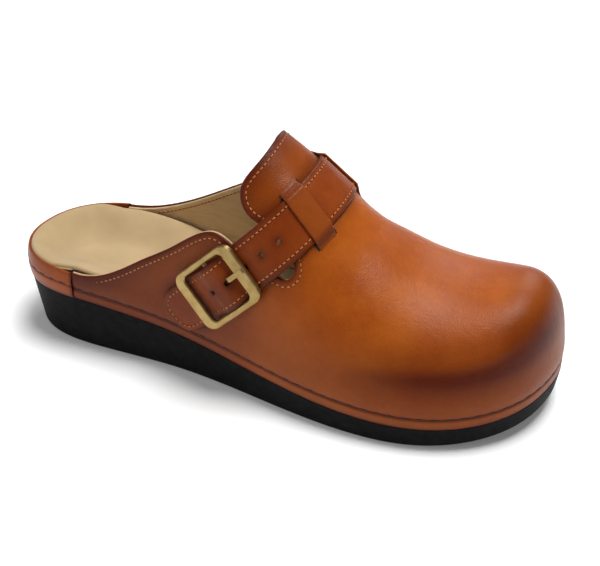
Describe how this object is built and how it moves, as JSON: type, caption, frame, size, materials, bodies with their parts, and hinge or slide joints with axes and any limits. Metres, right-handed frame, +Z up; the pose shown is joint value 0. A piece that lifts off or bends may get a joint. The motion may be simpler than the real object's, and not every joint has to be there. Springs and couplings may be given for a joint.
{
  "type": "leather clog",
  "caption": "Right-foot open-heel leather clog with a buckled instep strap woven under side bridges, a cupped suede footbed and a black wedge sole.",
  "frame": {"origin": "on the ground under the middle of the clog's bounding box", "axes": "+X from heel to toe, +Y to the inner side of the foot, +Z up"},
  "size_m": [0.2577, 0.0964, 0.1173],
  "materials": {
    "vamp_leather": "burnished cognac, satin",
    "strap_leather": "burnished darker cognac, satin",
    "rand_leather": "smooth tan, satin",
    "lining_leather": "matte olive-beige",
    "suede": "matte suede",
    "puff": "stiffened felt",
    "board": "fibre board",
    "footbed": "cork and latex",
    "sole": "matte black with a fine texture",
    "buckle": "antique, brushed"
  },
  "bodies": {
    "clog": {"outsole": "sole", "insole_board": "board", "footbed_core": "footbed", "footbed_cover": "suede", "heel_rand": "rand_leather", "vamp_upper": "vamp_leather", "vamp_lining": "lining_leather", "toe_puff": "puff", "instep_strap": "strap_leather", "strap_lining": "lining_leather", "buckle_chape": "strap_leather"},
    "buckle_frame_body": {"buckle_frame": "buckle"},
    "buckle_prong_body": {"buckle_prong": "buckle"}
  },
  "joints": [
    {"name": "frame_tilt", "type": "hinge", "parent": "clog", "child": "buckle_frame_body", "pos_m": [-0.01758, -0.03614, 0.05895], "axis": [0.6973, -0.1924, -0.6904], "range_deg": [-1.5, 1]},
    {"name": "prong_lift", "type": "hinge", "parent": "buckle_frame_body", "child": "buckle_prong_body", "pos_m": [-0.01758, -0.03614, 0.05895], "axis": [0.6973, -0.1924, -0.6904], "range_deg": [0, 2.5]}
  ]
}
